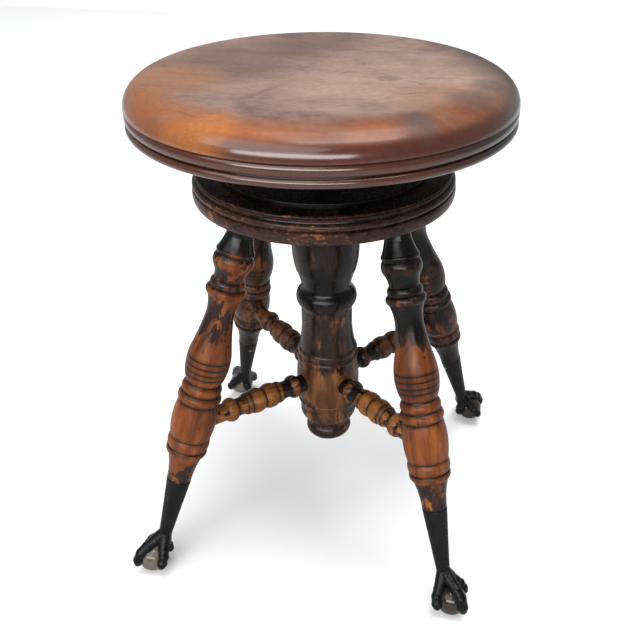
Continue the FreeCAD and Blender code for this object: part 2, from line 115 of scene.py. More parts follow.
def mahogany_seat():
    """Worn French polish on mahogany.

    The eye gets a silky, cloudy top with fine grain, and a deep gloss round the edge.
    """
    material, tree = new_material("mahogany_french_polish_worn")
    place = add(tree, "TexCoord").outputs["Object"]
    x, y, z = add(tree, "SeparateXYZ", {0: place}).outputs
    flat = add(tree, "CombineXYZ", {0: x, 1: y})
    radius = add(tree, "VectorMath", {0: flat}, operation="LENGTH")

    # Grain runs across the front. Its pores are 1.1 mm apart and 9 mm long, coarser than real
    # so that they show, and its bands 24 mm apart. The polish has clouds of 91 mm, worn patches
    # of 33 mm and mottle of 6 mm.
    along = add(tree, "Mapping", {"Rotation": (0, 0, math.radians(-24)), "Scale": (0.12, 1, 1),
                                  "Vector": place})
    pores = add(tree, "TexNoise", {"Scale": per_metre(1.111), "Detail": 3, "Roughness": 0.6,
                                   "Vector": along})
    bands = add(tree, "TexNoise", {"Scale": per_metre(23.81), "Detail": 4, "Roughness": 0.55,
                                   "Distortion": 0.4, "Vector": along})
    clouds = add(tree, "TexNoise", {"Scale": per_metre(90.91), "Detail": 8, "Roughness": 0.66,
                                    "Distortion": 0.5, "Vector": flat})
    patches = add(tree, "TexNoise", {"Scale": per_metre(33.33), "Detail": 8, "Roughness": 0.7,
                                     "Vector": flat})
    mottle = add(tree, "TexNoise", {"Scale": per_metre(6.25), "Detail": 5, "Roughness": 0.7,
                                    "Vector": flat})

    def near(centre, reach, ragged=0.032):
        """Soft round area on the seat, 1 in its middle and 0 past its reach, with a ragged edge."""
        shift = add(tree, "VectorMath", {0: flat, 1: (*centre, 0)}, operation="SUBTRACT")
        far = add(tree, "VectorMath", {0: shift}, operation="LENGTH")
        rough = add(tree, "MapRange", {"To Min": -ragged, "To Max": ragged, "Value": patches})
        return add(tree, "MapRange", {"From Min": reach, "From Max": reach * 0.35,
                                      "Value": add(tree, "Math", {0: far, 1: rough})},
                   interpolation_type="SMOOTHSTEP")

    def over(base, colour, amount, strength):
        """Lay a seat colour over another by an area."""
        share = add(tree, "Math", {0: amount, 1: strength}, operation="MULTIPLY")
        return add(tree, "Mix", {"Factor": share, "A": base, "B": linear(seat_colours[colour])},
                   data_type="RGBA")

    # The top, hazy where the polish is thin, with broad worn areas: colour, middle, reach in
    # metres, strength.
    colour = add(tree, "ValToRGB", {"Fac": clouds},
                 stops=[(0.34, seat_colours["plum"]), (0.5, seat_colours["haze"]),
                        (0.66, seat_colours["pale haze"])])
    for shade, centre, reach, strength in (
            ("plum", (-0.085, 0.02), 0.095, 0.75), ("plum", (-0.03, 0.10), 0.07, 0.7),
            ("thin polish", (0.07, -0.02), 0.12, 0.6), ("tan", (-0.13, -0.06), 0.075, 0.8),
            ("tan", (0.12, -0.07), 0.06, 0.55)):
        colour = over(colour, shade, near(centre, reach), strength)

    # Honey brown wear, 12 to 48 mm inside the rim, round the front only, darker to the right.
    ring = add(tree, "MapRange", {"From Min": 0.130, "From Max": 0.166, "Value": radius},
               interpolation_type="SMOOTHSTEP")
    front = add(tree, "VectorMath", {0: flat, 1: (0.10, -1.0, 0)}, operation="DOT_PRODUCT")
    facing = add(tree, "MapRange", {"From Min": 0.02, "From Max": 0.11, "Value": front},
                 interpolation_type="SMOOTHSTEP")
    streaks = add(tree, "MapRange", {"From Min": 0.3, "From Max": 0.62, "To Min": 0.35,
                                     "Value": bands})
    worn = add(tree, "Math", {0: ring, 1: facing}, operation="MULTIPLY")
    worn = add(tree, "Math", {0: worn, 1: streaks}, operation="MULTIPLY")
    colour = over(colour, "honey", worn, 0.97)
    darker = add(tree, "MapRange", {"From Min": -0.03, "From Max": 0.06, "Value": x},
                 interpolation_type="SMOOTHSTEP")
    darker = add(tree, "Math", {0: darker, 1: worn}, operation="MULTIPLY")
    colour = over(colour, "dark honey", darker, 0.8)
    colour = over(colour, "amber", near((-0.050, -0.158), 0.026, 0.014), 0.5)
    colour = over(colour, "brown amber", near((0.070, -0.152), 0.028, 0.012), 0.55)

    # Red brown polish left on the rolled edge, with painted shade near black round the right and the
    # back.
    edge = add(tree, "MapRange", {"From Min": seat_roll_start, "From Max": seat_roll_end,
                                  "Value": z}, interpolation_type="SMOOTHSTEP")
    polished = add(tree, "MapRange", {"From Min": -0.066, "From Max": -0.020, "Value": x},
                   interpolation_type="SMOOTHSTEP")
    rim = add(tree, "Mix", {"A": linear(seat_colours["left rim"]),
                            "B": linear(seat_colours["rim"]), "Factor": polished},
              data_type="RGBA")
    share = add(tree, "Math", {0: edge, 1: 0.92}, operation="MULTIPLY")
    colour = add(tree, "Mix", {"Factor": share, "A": colour, "B": rim}, data_type="RGBA")
    colour = over(colour, "edge amber", near((-0.074, -0.163), 0.042, 0.012), 0.6)
    # Painted shade: the right and back of the seat go near black, away from the light.
    to_right = add(tree, "VectorMath", {0: flat, 1: (0.92, 0.39, 0)}, operation="DOT_PRODUCT")
    shade = add(tree, "MapRange", {"From Min": 0.105, "From Max": 0.172, "Value": to_right},
                interpolation_type="SMOOTHSTEP")
    colour = over(colour, "shaded right rim", shade, 0.95)

    # Old stains: middle, reach in metres, strength. Then rare fine scratches, 18 mm apart.
    for centre, reach, strength in (
            ((0.100, -0.122), 0.020, 0.75), ((0.136, -0.062), 0.030, 0.55),
            ((0.147, -0.022), 0.022, 0.5), ((0.062, -0.018), 0.014, 0.35),
            ((0.060, -0.100), 0.018, 0.30), ((-0.060, 0.125), 0.020, 0.6),
            ((0.0, 0.135), 0.030, 0.5)):
        colour = over(colour, "stain", near(centre, reach, 0.014), strength)
    scuffs = add(tree, "TexVoronoi", {"Scale": per_metre(18.18), "Randomness": 1.0,
                                      "Vector": along}, feature="DISTANCE_TO_EDGE")
    line = add(tree, "MapRange", {"From Min": 0.022, "From Max": 0.0, "Value": scuffs})
    rare = add(tree, "MapRange", {"From Min": 0.50, "From Max": 0.60, "Value": patches})
    line = add(tree, "Math", {0: line, 1: rare}, operation="MULTIPLY")
    colour = over(colour, "scratch", line, 0.6)

    # The beads keep the first dark red polish. The grooves between them are painted near black
    # as shade, and the underside was left bare.
    below = add(tree, "MapRange", {"From Min": seat_rim_low + 0.0006,
                                   "From Max": seat_rim_low - 0.0002, "Value": z})
    colour = over(colour, "bead", below, 1.0)
    # Painted shade: the grooves between the beads are coloured near black.
    painted_groove_shade = add(tree, "MapRange", {"From Min": seat_groove_radius + 0.0007,
                                  "From Max": seat_groove_radius - 0.0007, "Value": radius})
    painted_groove_shade = add(tree, "Math", {0: painted_groove_shade, 1: below}, operation="MULTIPLY")
    colour = over(colour, "dirt_and_shade_in_grooves", painted_groove_shade, 1.0)
    # Painted shade: the beads darken round the right, where the front light does not reach.
    right = add(tree, "MapRange", {"From Min": 0.02, "From Max": 0.14, "Value": to_right},
                interpolation_type="SMOOTHSTEP")
    right = add(tree, "Math", {0: right, 1: below}, operation="MULTIPLY")
    colour = over(colour, "shaded right bead", right, 0.9)
    under = add(tree, "MapRange", {"From Min": seat_low + 0.0006, "From Max": seat_low + 0.0001,
                                   "Value": z})
    colour = over(colour, "bare underside", under, 1.0)

    # Each pattern lightens and darkens the colour by about a tenth.
    for pattern, spread, dark, light in (
            (pores, 0.15, 0.88, 1.07), (mottle, 0.15, 0.90, 1.09), (bands, 0.20, 0.88, 1.10)):
        tone = add(tree, "MapRange", {"From Min": 0.5 - spread, "From Max": 0.5 + spread,
                                      "To Min": dark, "To Max": light, "Value": pattern})
        colour = add(tree, "VectorMath", {0: colour, 1: tone}, operation="MULTIPLY")

    # Rubbed silk on top, gloss with a coat of polish on the edge, dull wood underneath.
    silk = add(tree, "MapRange", {"From Min": 0.3, "From Max": 0.7, "To Min": 0.40,
                                  "To Max": 0.56, "Value": clouds})
    gloss = add(tree, "Mix", {"Factor": edge, "A": silk, "B": 0.22})
    gloss = add(tree, "Mix", {"Factor": under, "A": gloss, "B": 0.75})
    coat = add(tree, "MapRange", {"To Min": 0.12, "To Max": 1.0, "Value": edge})
    coat = add(tree, "Mix", {"Factor": under, "A": coat, "B": 0.0})
    height = add(tree, "Math", {0: pores, 1: 0.25}, operation="MULTIPLY")
    height = add(tree, "Math", {0: height, 1: clouds})
    bump = add(tree, "Bump", {"Strength": 0.12, "Distance": 0.0006, "Height": height})
    shader = add(tree, "BsdfPrincipled", {
        "Base Color": colour, "Roughness": gloss, "Coat Weight": coat, "Coat Roughness": 0.15,
        "Specular IOR Level": 0.35, "IOR": 1.5, "Normal": bump})
    add(tree, "OutputMaterial", {"Surface": shader})
    return material


dress("seat", mahogany_seat())


# Seat plate: grey iron cast in sand, with a hub and four ribs, in the plain dark skin that it
# left the mould with. Four wood screws hold it, and a steel pin locks the lift screw in it.
def cast_iron(name, colour, roughness):
    """Grey iron as cast. The eye gets a dark, dull skin with the print of the sand.

    The grit is 1.1 mm apart, coarser than real sand so that it shows.
    """
    material, tree = new_material(name)
    place = add(tree, "TexCoord").outputs["Object"]
    grit = add(tree, "TexNoise", {"Scale": per_metre(1.1), "Detail": 4, "Roughness": 0.6,
                                  "Vector": place})
    broad = add(tree, "TexNoise", {"Scale": per_metre(22.22), "Detail": 3, "Vector": place})
    dark = linear(colour)
    light = (*[1.9 * channel + 0.006 for channel in dark[:3]], 1.0)
    skin = add(tree, "Mix", {"A": dark, "B": light, "Factor": broad}, data_type="RGBA")
    wear = add(tree, "MapRange", {"To Min": roughness - 0.08, "To Max": roughness + 0.1,
                                  "Value": broad})
    bump = add(tree, "Bump", {"Strength": 0.35, "Distance": 0.0004, "Height": grit})
    shader = add(tree, "BsdfPrincipled", {"Base Color": skin, "Roughness": wear, "Normal": bump})
    add(tree, "OutputMaterial", {"Surface": shader})
    return material


def turned_steel(name, bright, stained):
    """Mild steel from the lathe, a little oily. The eye gets bright metal with fine rings.

    The tool's marks are 4 mm long and a third of a millimetre apart along the piece.
    """
    material, tree = new_material(name)
    place = add(tree, "TexCoord").outputs["Object"]
    drawn = add(tree, "Mapping", {"Scale": (1, 1, 12), "Vector": place})
    rings = add(tree, "TexNoise", {"Scale": per_metre(4), "Detail": 3, "Vector": drawn})
    stain = add(tree, "TexNoise", {"Scale": per_metre(16.67), "Detail": 5, "Vector": place})
    tone = add(tree, "ValToRGB", {"Fac": stain}, stops=[(0.35, stained), (0.6, bright)])
    sheen = add(tree, "MapRange", {"To Min": 0.25, "To Max": 0.48, "Value": rings})
    bump = add(tree, "Bump", {"Strength": 0.2, "Distance": 0.0001, "Height": rings})
    shader = add(tree, "BsdfPrincipled", {"Base Color": tone, "Metallic": 1.0,
                                          "Roughness": sheen, "Normal": bump})
    add(tree, "OutputMaterial", {"Surface": shader})
    return material


plate_iron = cast_iron("grey_cast_iron", "#2b2b2c", 0.62)
screw_steel = turned_steel("mild_steel_turned", "#a5a19a", "#4a4641")
dress("seat_plate", plate_iron)
dress("seat_plate_screws", screw_steel)
dress("hub_pin", screw_steel)


# Lift screw and its stop collar: steel, turned in a lathe, with a coarse square thread of four
# turns to the inch, oiled. Its plain head is pinned in the plate's hub, and the collar is
# riveted on the spigot at its foot.
def new_piece(name, sheet, material, node, body):
    """Make a smooth piece from a bmesh that was built in place, in the stead of a CAD node."""
    mesh = bpy.data.meshes.new(name)
    for face in sheet.faces:
        face.smooth = True
    sheet.to_mesh(mesh)
    sheet.free()
    mesh.materials.append(material)
    piece = bpy.data.objects.new(name, mesh)
    bpy.context.scene.collection.objects.link(piece)
    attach(piece, body)
    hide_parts(node)
    return piece


def spun(sheet, outline, steps=64):
    """Closed turned shape about z from an outline of radius and height that ends on the axis."""
    points = [sheet.verts.new((radius, 0, z)) for radius, z in outline]
    edges = [sheet.edges.new(pair) for pair in zip(points, points[1:])]
    bmesh.ops.spin(sheet, geom=points + edges, axis=(0, 0, 1), cent=(0, 0, 0),
                   angle=2 * math.pi, steps=steps, use_merge=True)
    bmesh.ops.remove_doubles(sheet, verts=sheet.verts, dist=1e-6)
    bmesh.ops.recalc_face_normals(sheet, faces=sheet.faces)


def thread(sheet, low, high, pitch, crest, root):
    """Right-hand square thread between two heights, closed flat at both ends."""
    outline = [(crest, 0), (crest, pitch / 2), (root, pitch / 2), (root, pitch), (crest, pitch)]
    points = [sheet.verts.new((radius, 0, low - pitch + z)) for radius, z in outline]
    edges = [sheet.edges.new(pair) for pair in zip(points, points[1:])]
    turns = math.ceil((high - low) / pitch) + 1
    steps_per_turn = 32
    bmesh.ops.spin(sheet, geom=points + edges, axis=(0, 0, 1), cent=(0, 0, 0),
                   dvec=(0, 0, pitch / steps_per_turn), angle=2 * math.pi * turns,
                   steps=steps_per_turn * turns)
    bmesh.ops.remove_doubles(sheet, verts=sheet.verts, dist=1e-6)
    for z, up in ((low, -1), (high, 1)):
        everything = sheet.verts[:] + sheet.edges[:] + sheet.faces[:]
        bmesh.ops.bisect_plane(sheet, geom=everything, plane_co=(0, 0, z), plane_no=(0, 0, up),
                               clear_outer=True)
        rim = [edge for edge in sheet.edges if edge.is_boundary
               and all(abs(vert.co.z - z) < 1e-6 for vert in edge.verts)]
        bmesh.ops.holes_fill(sheet, edges=rim)
    bmesh.ops.recalc_face_normals(sheet, faces=sheet.faces)


screw_low, screw_high = (corner.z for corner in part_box("lift_screw"))
hub_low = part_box("seat_plate")[0].z
screw_pitch = 0.00635
screw_radius = 0.0111
screw_root = 0.0082
rivet_radius = 0.0085
rivet_thickness = 0.003
spigot_radius = 0.006
thread_low = screw_low + 0.0091

rod = bmesh.new()
thread(rod, thread_low, hub_low, screw_pitch, screw_radius + 0.00001, screw_root)
spun(rod, [(0, hub_low), (screw_radius, hub_low), (screw_radius, screw_high), (0, screw_high)])
spun(rod, [(0, screw_low), (rivet_radius, screw_low), (rivet_radius, screw_low + rivet_thickness),
           (spigot_radius, screw_low + rivet_thickness), (spigot_radius, thread_low),
           (0, thread_low)])
lift_screw = new_piece("threaded_lift_screw", rod, screw_steel, "lift_screw", "seat")
lift_screw.modifiers.new("sharp_thread", "EDGE_SPLIT").split_angle = math.radians(35)
dress("stop_collar", screw_steel)

# Nut flange: grey iron, cast in one with its long barrel, let into the block, with four wood
# screws through its flange.
dress("nut_flange", plate_iron)
dress("nut_flange_screws", screw_steel)


# Base block: one round of maple, turned with a raised table and a moulded rim, stained black
# and shellacked. Knocks and hands have worn the ridges of the rim back to red brown wood, and
# left the top and the grooves black.
maple_brown = ("#4f250e", "#723a18", "#915526")
black_stain = ("#090807", "#33201a")
# Quirks go near black from their dirt, with a soft painted shade either side.
quirk_dirt_and_shade_colour = "#070504"


def worn_finish(name, to_axis, span, wear_along, ridge, lines=(), spots=(), wood=maple_brown,
                stain=black_stain, patch=16, along_grain=0.6, half_worn=(0.1, 0.5)):
    """Black stain under shellac on turned maple, worn through to the wood on the ridges.

    The eye gets glossy black with ragged chips of warm brown wood, and dark lines of dirt in the
    quirks with painted shade round them. to_axis brings object coordinates to the piece's own
    axis, with z = 0 at its top. span is the z range in metres, and wear_along gives the wear at
    shares of it. ridge is the two radii between which wear grows. lines are the z places of the
    quirks, painted dark for their dirt and shade. spots are places on the surface with a reach
    and the wear that they add there. patch is the size of the chips in millimetres, along_grain
    squeezes them along the axis, and half_worn are the levels between which the stain goes thin.
    """
    material, tree = new_material(name)
    spot = add(tree, "TexCoord").outputs["Object"]
    moved = add(tree, "Mapping", {"Location": to_axis.to_translation(),
                                  "Rotation": to_axis.to_euler("XYZ"), "Vector": spot})
    x, y, level = add(tree, "SeparateXYZ", {0: moved}).outputs
    flat = add(tree, "CombineXYZ", {0: x, 1: y})
    radius = add(tree, "VectorMath", {0: flat}, operation="LENGTH")

    # Maple's pores are 1.4 mm apart here, coarser than real so that they show, and its figure
    # 10.5 mm. Both run along the piece.
    long_way = add(tree, "Mapping", {"Scale": (1, 1, 0.16), "Vector": moved})
    pores = add(tree, "TexNoise", {"Scale": per_metre(1.4286), "Detail": 3, "Roughness": 0.6,
                                   "Vector": long_way})
    figure = add(tree, "TexNoise", {"Scale": per_metre(10.526), "Detail": 4, "Distortion": 0.3,
                                    "Vector": long_way})
    broad = add(tree, "TexNoise", {"Scale": per_metre(2.5 * patch), "Detail": 3,
                                   "Vector": moved})
    drawn = add(tree, "Mapping", {"Scale": (1, 1, along_grain), "Vector": moved})
    chips = add(tree, "TexNoise", {"Scale": per_metre(patch), "Detail": 7, "Roughness": 0.62,
                                   "Distortion": 0.6, "Vector": drawn})
    runs = add(tree, "Mapping", {"Scale": (1, 1, 0.5 * along_grain), "Vector": moved})
    flakes = add(tree, "TexNoise", {"Scale": per_metre(patch / 2.6), "Detail": 6,
                                    "Roughness": 0.6, "Vector": runs})

    # Wear adds up from its place along the piece, the ridges, the spots and the patterns.
    share = add(tree, "MapRange", {"From Min": span[0], "From Max": span[1], "Value": level})
    wear = add(tree, "ValToRGB", {"Fac": share}, stops=wear_along)
    parts = [add(tree, "MapRange", {"From Min": ridge[0], "From Max": ridge[1], "To Min": -0.16,
                                    "To Max": 0.16, "Value": radius},
                 interpolation_type="SMOOTHSTEP")]
    for centre, reach, more in spots:
        shift = add(tree, "VectorMath", {0: spot, 1: centre}, operation="SUBTRACT")
        far = add(tree, "VectorMath", {0: shift}, operation="LENGTH")
        parts.append(add(tree, "MapRange", {"From Min": reach, "From Max": reach * 0.4,
                                            "To Max": more, "Value": far},
                         interpolation_type="SMOOTHSTEP"))
    for pattern, amount in ((chips, 1.5), (flakes, 0.7), (broad, 0.7)):
        parts.append(add(tree, "MapRange", {"To Min": -amount / 2, "To Max": amount / 2,
                                            "Value": pattern}))
    for part in parts:
        wear = add(tree, "Math", {0: wear, 1: part})
    bare = add(tree, "MapRange", {"From Min": 0.47, "From Max": 0.53, "Value": wear},
               interpolation_type="SMOOTHSTEP")
    flecks = add(tree, "MapRange", {"From Min": 0.68, "From Max": 0.655, "Value": flakes})
    bare = add(tree, "Math", {0: bare, 1: flecks}, operation="MULTIPLY")
    thin = add(tree, "MapRange", {"From Min": half_worn[0], "From Max": half_worn[1],
                                  "Value": wear}, interpolation_type="SMOOTHSTEP")

    timber = add(tree, "ValToRGB", {"Fac": figure},
                 stops=[(0.3, wood[0]), (0.5, wood[1]), (0.72, wood[2])])
    tone = add(tree, "MapRange", {"From Min": 0.3, "From Max": 0.7, "To Min": 0.72,
                                  "To Max": 1.2, "Value": broad})
    timber = add(tree, "VectorMath", {0: timber, 1: tone}, operation="MULTIPLY")
    black = add(tree, "Mix", {"A": linear(stain[0]), "B": linear(stain[1]), "Factor": thin},
                data_type="RGBA")
    colour = add(tree, "Mix", {"Factor": bare, "A": black, "B": timber}, data_type="RGBA")
    for place in lines:
        # Dirt and painted shade: the ramp is 5 mm long, black in the middle of the quirk for its
        # dirt, then a soft painted shade that is gone 3.75 mm from it.
        gap = add(tree, "Math", {0: level, 1: place}, operation="SUBTRACT")
        gap = add(tree, "Math", {0: gap}, operation="ABSOLUTE")
        gap = add(tree, "Math", {0: gap, 1: per_metre(5)}, operation="MULTIPLY")
        dirt_and_shade_in_grooves = add(tree, "ValToRGB", {"Fac": gap}, stops=[(0.07, 1.0), (0.16, 0.5), (0.75, 0.0)])
        colour = add(tree, "Mix", {"Factor": dirt_and_shade_in_grooves, "A": colour, "B": linear(quirk_dirt_and_shade_colour)},
                     data_type="RGBA")
    grain = add(tree, "MapRange", {"From Min": 0.35, "From Max": 0.65, "To Min": 0.86,
                                   "To Max": 1.08, "Value": pores})
    colour = add(tree, "VectorMath", {0: colour, 1: grain}, operation="MULTIPLY")

    # Shellac is glossy, and bare wood a little duller and a coat's thickness lower.
    rough = add(tree, "MapRange", {"To Min": 0.22, "To Max": 0.33, "Value": bare})
    dull = add(tree, "MapRange", {"From Min": 0.35, "From Max": 0.7, "To Min": -0.05,
                                  "To Max": 0.10, "Value": flakes})
    rough = add(tree, "Math", {0: rough, 1: dull})
    coat = add(tree, "Math", {0: bare, 1: 0.35}, operation="MULTIPLY")
    height = add(tree, "Math", {0: pores, 1: coat}, operation="SUBTRACT")
    bump = add(tree, "Bump", {"Strength": 0.30, "Distance": 0.0003, "Height": height})
    shader = add(tree, "BsdfPrincipled", {"Base Color": colour, "Roughness": rough, "IOR": 1.5,
                                          "Specular IOR Level": 0.25, "Normal": bump})
    add(tree, "OutputMaterial", {"Surface": shader})
    return material


block_low, block_high = (corner.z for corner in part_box("base_block"))
block_wear = [(0.0, 0.05), (0.35, 0.07), (0.75, 0.08), (0.88, 0.22), (0.915, 0.0)]
block_spots = [((-0.075, -0.098, 0.402), 0.045, 0.15), ((0.03, -0.121, 0.398), 0.035, 0.14),
               ((-0.02, -0.124, 0.386), 0.040, 0.14), ((-0.118, 0.02, 0.395), 0.04, 0.08)]
dress("base_block", worn_finish(
    "maple_ebonised_block", Matrix.Translation((0, 0, -block_high)),
    (block_low - block_high, 0), block_wear, (0.119, 0.1262), spots=block_spots,
    wood=("#3d1d10", "#6a3b22", "#935a35"), stain=("#0b0a0a", "#3a241b"), patch=10,
    along_grain=3.0, half_worn=(-0.1, 0.4)))

# Centre column: a maple post, turned with a bulb at the top, a drum that takes the stretchers
# and a button at its foot, and glued into the block. Its finish is the block's: black on the
# bulb, flecked down the shaft, and rubbed bare on the front of the drum.
column_low, column_high = (corner.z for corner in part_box("centre_column"))
column_wear = [(0.0, 0.56), (0.05, 0.60), (0.12, 0.44), (0.17, 0.34), (0.23, 0.36), (0.31, 0.30),
               (0.36, 0.36), (0.44, 0.42), (0.53, 0.46), (0.548, 0.46), (0.568, 0.10),
               (0.62, 0.0)]
column_spots = [((0.010, -0.034, 0.152), 0.032, 0.62), ((-0.012, -0.030, 0.280), 0.03, -0.3)]
dress("centre_column", worn_finish(
    "maple_ebonised_column", Matrix.Translation((0, 0, -column_high)),
    (column_low - column_high, 0), column_wear, (0.026, 0.034), spots=column_spots,
    wood=("#351a0a", "#59351c", "#8a5a30"), stain=("#0b0a09", "#33231b"), patch=10,
    along_grain=0.3, half_worn=(0.0, 0.5)))

# Legs: four alike, turned from maple, stained black at the top and rubbed to orange brown
# below, driven at a slant into the block. The top of each leads its foot by 8 degrees round
# the stool, so they all lean a little one way. The two at the back have kept more stain, and
# their wood is painted darker as shade.
leg_names = ("front_left", "front_right", "back_right", "back_left")
first_leg_turn = math.radians(225)
leg_top_circle = 0.096
leg_top_lead = math.radians(8.1)
leg_foot_circle = 0.2125
leg_foot_height = 0.0147
leg_length = 0.2836
leg_top = Matrix.Rotation(leg_top_lead, 3, "Z") @ Vector((leg_top_circle, 0, block_low))
foot_end = Vector((leg_foot_circle, 0, leg_foot_height))
leg_way = (leg_top - foot_end).normalized()


def leg_corner(index):
    """Turn about the stool's axis to a leg's place."""
    return Matrix.Rotation(first_leg_turn + index * math.pi / 2, 4, "Z")


def leg_frame(index):
    """Place and turn of a leg's axis: z points up along it from the block's underside."""
    outwards = (Vector((1, 0, 0)) - leg_way * leg_way.x).normalized()
    stand = Matrix((outwards, leg_way.cross(outwards), leg_way)).transposed().to_4x4()
    return leg_corner(index) @ Matrix.Translation(leg_top) @ stand


leg_quirks = [-0.0352, -0.0679, -0.1704, -0.1812, -0.1918, -0.2316, -0.2447]
leg_grooves = [-0.1423, -0.1486, -0.1550, -0.1605]
leg_wear = {
    "front_left": [(0.0, 0.62), (0.08, 0.80), (0.20, 0.60), (0.34, 0.62), (0.52, 0.66),
                   (0.72, 0.66), (0.78, 0.50), (0.84, 0.46), (0.90, 0.24), (0.99, 0.10)],
    "front_right": [(0.0, 0.46), (0.10, 0.62), (0.20, 0.62), (0.34, 0.66), (0.52, 0.74),
                    (0.60, 0.58), (0.68, 0.26), (0.72, 0.30), (0.80, 0.34), (0.88, 0.20),
                    (0.99, 0.06)],
    "back_right": [(0.0, 0.36), (0.25, 0.26), (0.4, 0.32), (0.55, 0.26), (0.75, 0.28),
                   (0.99, 0.20)],
    "back_left": [(0.0, 0.46), (0.25, 0.40), (0.4, 0.46), (0.55, 0.44), (0.75, 0.42),
                  (0.99, 0.20)],
}
# Painted shade: a darker copy of the brown wood for the back legs and stretchers.
shaded_back_brown = ("#301a0f", "#58331d", "#75492b")
for index, name in enumerate(leg_names):
    dress("leg_" + name, worn_finish(
        "maple_stained_leg_" + name, leg_frame(index).inverted(), (-leg_length, 0),
        leg_wear[name], (0.0145, 0.021), leg_quirks + leg_grooves,
        wood=maple_brown if name.startswith("front") else shaded_back_brown))

# Stretchers: four alike, turned from maple with the same members both ways from the middle,
# glued into the drum and the legs. The front two are amber brown under shellac with black dirt
# and painted shade in the grooves, the back two are painted darker as shade.
stretcher_height = 0.1582
stretcher_slope = math.radians(3.0)
stretcher_span = (-0.175, -0.03)
stretcher_quirks = [-0.0520, -0.0620, -0.0678, -0.0836, -0.0992, -0.1050, -0.1150]
stretcher_wear = [(0.0, 0.26), (0.12, 0.48), (0.3, 0.64), (0.6, 0.64), (0.8, 0.52), (0.97, 0.16)]
amber_brown = ("#4d2810", "#8a5327", "#ab7439")
for name in leg_names:
    low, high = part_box("stretcher_" + name)
    heading = math.atan2((low.y + high.y) / 2, (low.x + high.x) / 2)
    axis = Matrix.Rotation(heading, 4, "Z") @ Matrix.Rotation(-math.pi / 2 - stretcher_slope, 4, "Y")
    axis = Matrix.Translation((0, 0, stretcher_height)) @ axis
    dress("stretcher_" + name, worn_finish(
        "maple_amber_stretcher_" + name, axis.inverted(), stretcher_span, stretcher_wear,
        (0.0088, 0.0122), stretcher_quirks, patch=10,
        wood=amber_brown if name.startswith("front") else shaded_back_brown))


# Claw feet: hollow iron castings, japanned black, driven on the legs' tapered ends and held by
# a screw from the inner side. Four talons with three knuckles each grip the ball. The shank is
# dull and carries rows of small scales down its outward face. The talons keep their gloss.
ball_radius = 0.015
ball_place = Vector((0.220, 0, leg_foot_height))
ankle_height = 0.0275
ankle_place = foot_end + leg_way * ankle_height
socket_top = -0.28395
socket_depth = 0.0321
talon_root = 0.0062
talon_thinning = 0.0013
talon_sink = 0.4
talon_reach = 1.05
talon_rings = 41
tip_start = 0.92
tip_dip = math.radians(-6)
knuckle_swell = 0.0005
first_knuckle = 0.40
knuckle_pitch = 0.22


def talon_radius(share):
    """Half width of a talon: it thins from the ankle and swells at its three knuckles."""
    taper = talon_root - talon_thinning * share
    if share > tip_start:
        taper *= 1 - 0.75 * ((share - tip_start) / 0.13) ** 2
    if share <= 0.25:
        return taper
    wave = 0.5 + 0.5 * math.cos(2 * math.pi * (share - first_knuckle) / knuckle_pitch)
    return taper + knuckle_swell * (wave ** 2 - 0.4)


def talon(sheet, turn):
    """Sweep a ring from the ankle out to the first knuckle, then down round the ball."""
    root = (ankle_place - ball_place).normalized()
    tip = Vector((math.cos(turn) * math.cos(tip_dip), math.sin(turn) * math.cos(tip_dip),
                  math.sin(tip_dip)))
    axis = root.cross(tip).normalized()
    bend = root.angle(tip)

    def over_ball(share):
        outwards = Matrix.Rotation(bend * share, 3, axis) @ root
        return ball_place + outwards * (ball_radius + talon_sink * talon_radius(share))

    knuckle = over_ball(first_knuckle)
    shares = [i / (talon_rings - 1) * talon_reach for i in range(talon_rings)]
    centres = [over_ball(share) if share > first_knuckle
               else ankle_place.lerp(knuckle, share / first_knuckle) for share in shares]
    ring = bmesh.ops.create_circle(sheet, segments=20, radius=1.0)["verts"]
    edges = list({edge for vert in ring for edge in vert.link_edges})
    bmesh.ops.edgeloop_fill(sheet, edges=edges)
    last = Matrix()
    for i, (share, centre) in enumerate(zip(shares, centres)):
        way = (centres[min(i + 1, talon_rings - 1)] - centres[max(i - 1, 0)]).normalized()
        stand = Matrix((axis, way.cross(axis), way)).transposed().to_4x4()
        if i > 0:
            grown = bmesh.ops.extrude_edge_only(sheet, edges=edges)["geom"]
            ring = [item for item in grown if isinstance(item, bmesh.types.BMVert)]
            edges = [item for item in grown if isinstance(item, bmesh.types.BMEdge)
                     and all(vert in ring for vert in item.verts)]
        place = Matrix.Translation(centre) @ stand @ Matrix.Scale(talon_radius(share), 4)
        bmesh.ops.transform(sheet, matrix=place @ last.inverted(), verts=ring)
        last = place
    bmesh.ops.edgeloop_fill(sheet, edges=edges)


def claw_foot(index):
    """Socket, ankle and talons as one casting, hollow where the leg and the ball go."""
    sheet = bmesh.new()
    ankle = ankle_height - (foot_end - leg_top).length
    socket_foot = socket_top - socket_depth
    spun(sheet, [(0, socket_foot), (0.0070, socket_foot), (0.0099, socket_top),
                 (0.0116, socket_top), (0.0122, socket_top - 0.0006),
                 (0.0122, socket_top - 0.0016), (0.0094, (socket_top + ankle) / 2),
                 (0.0071, ankle + 0.006), (0.0067, ankle), (0.0070, ankle - 0.004),
                 (0.0078, ankle - 0.008), (0.0078, ankle - 0.012), (0, ankle - 0.0125)], 48)
    corner = leg_corner(index)
    bmesh.ops.transform(sheet, matrix=corner.inverted() @ leg_frame(index), verts=sheet.verts)
    for i in range(4):
        talon(sheet, i * math.pi / 2)
    hollow = ball_radius + 0.0001
    for vert in sheet.verts:
        away = vert.co - ball_place
        if away.length < hollow:
            vert.co = ball_place + away.normalized() * hollow
    bmesh.ops.recalc_face_normals(sheet, faces=sheet.faces)
    bmesh.ops.transform(sheet, matrix=corner, verts=sheet.verts)
    return sheet


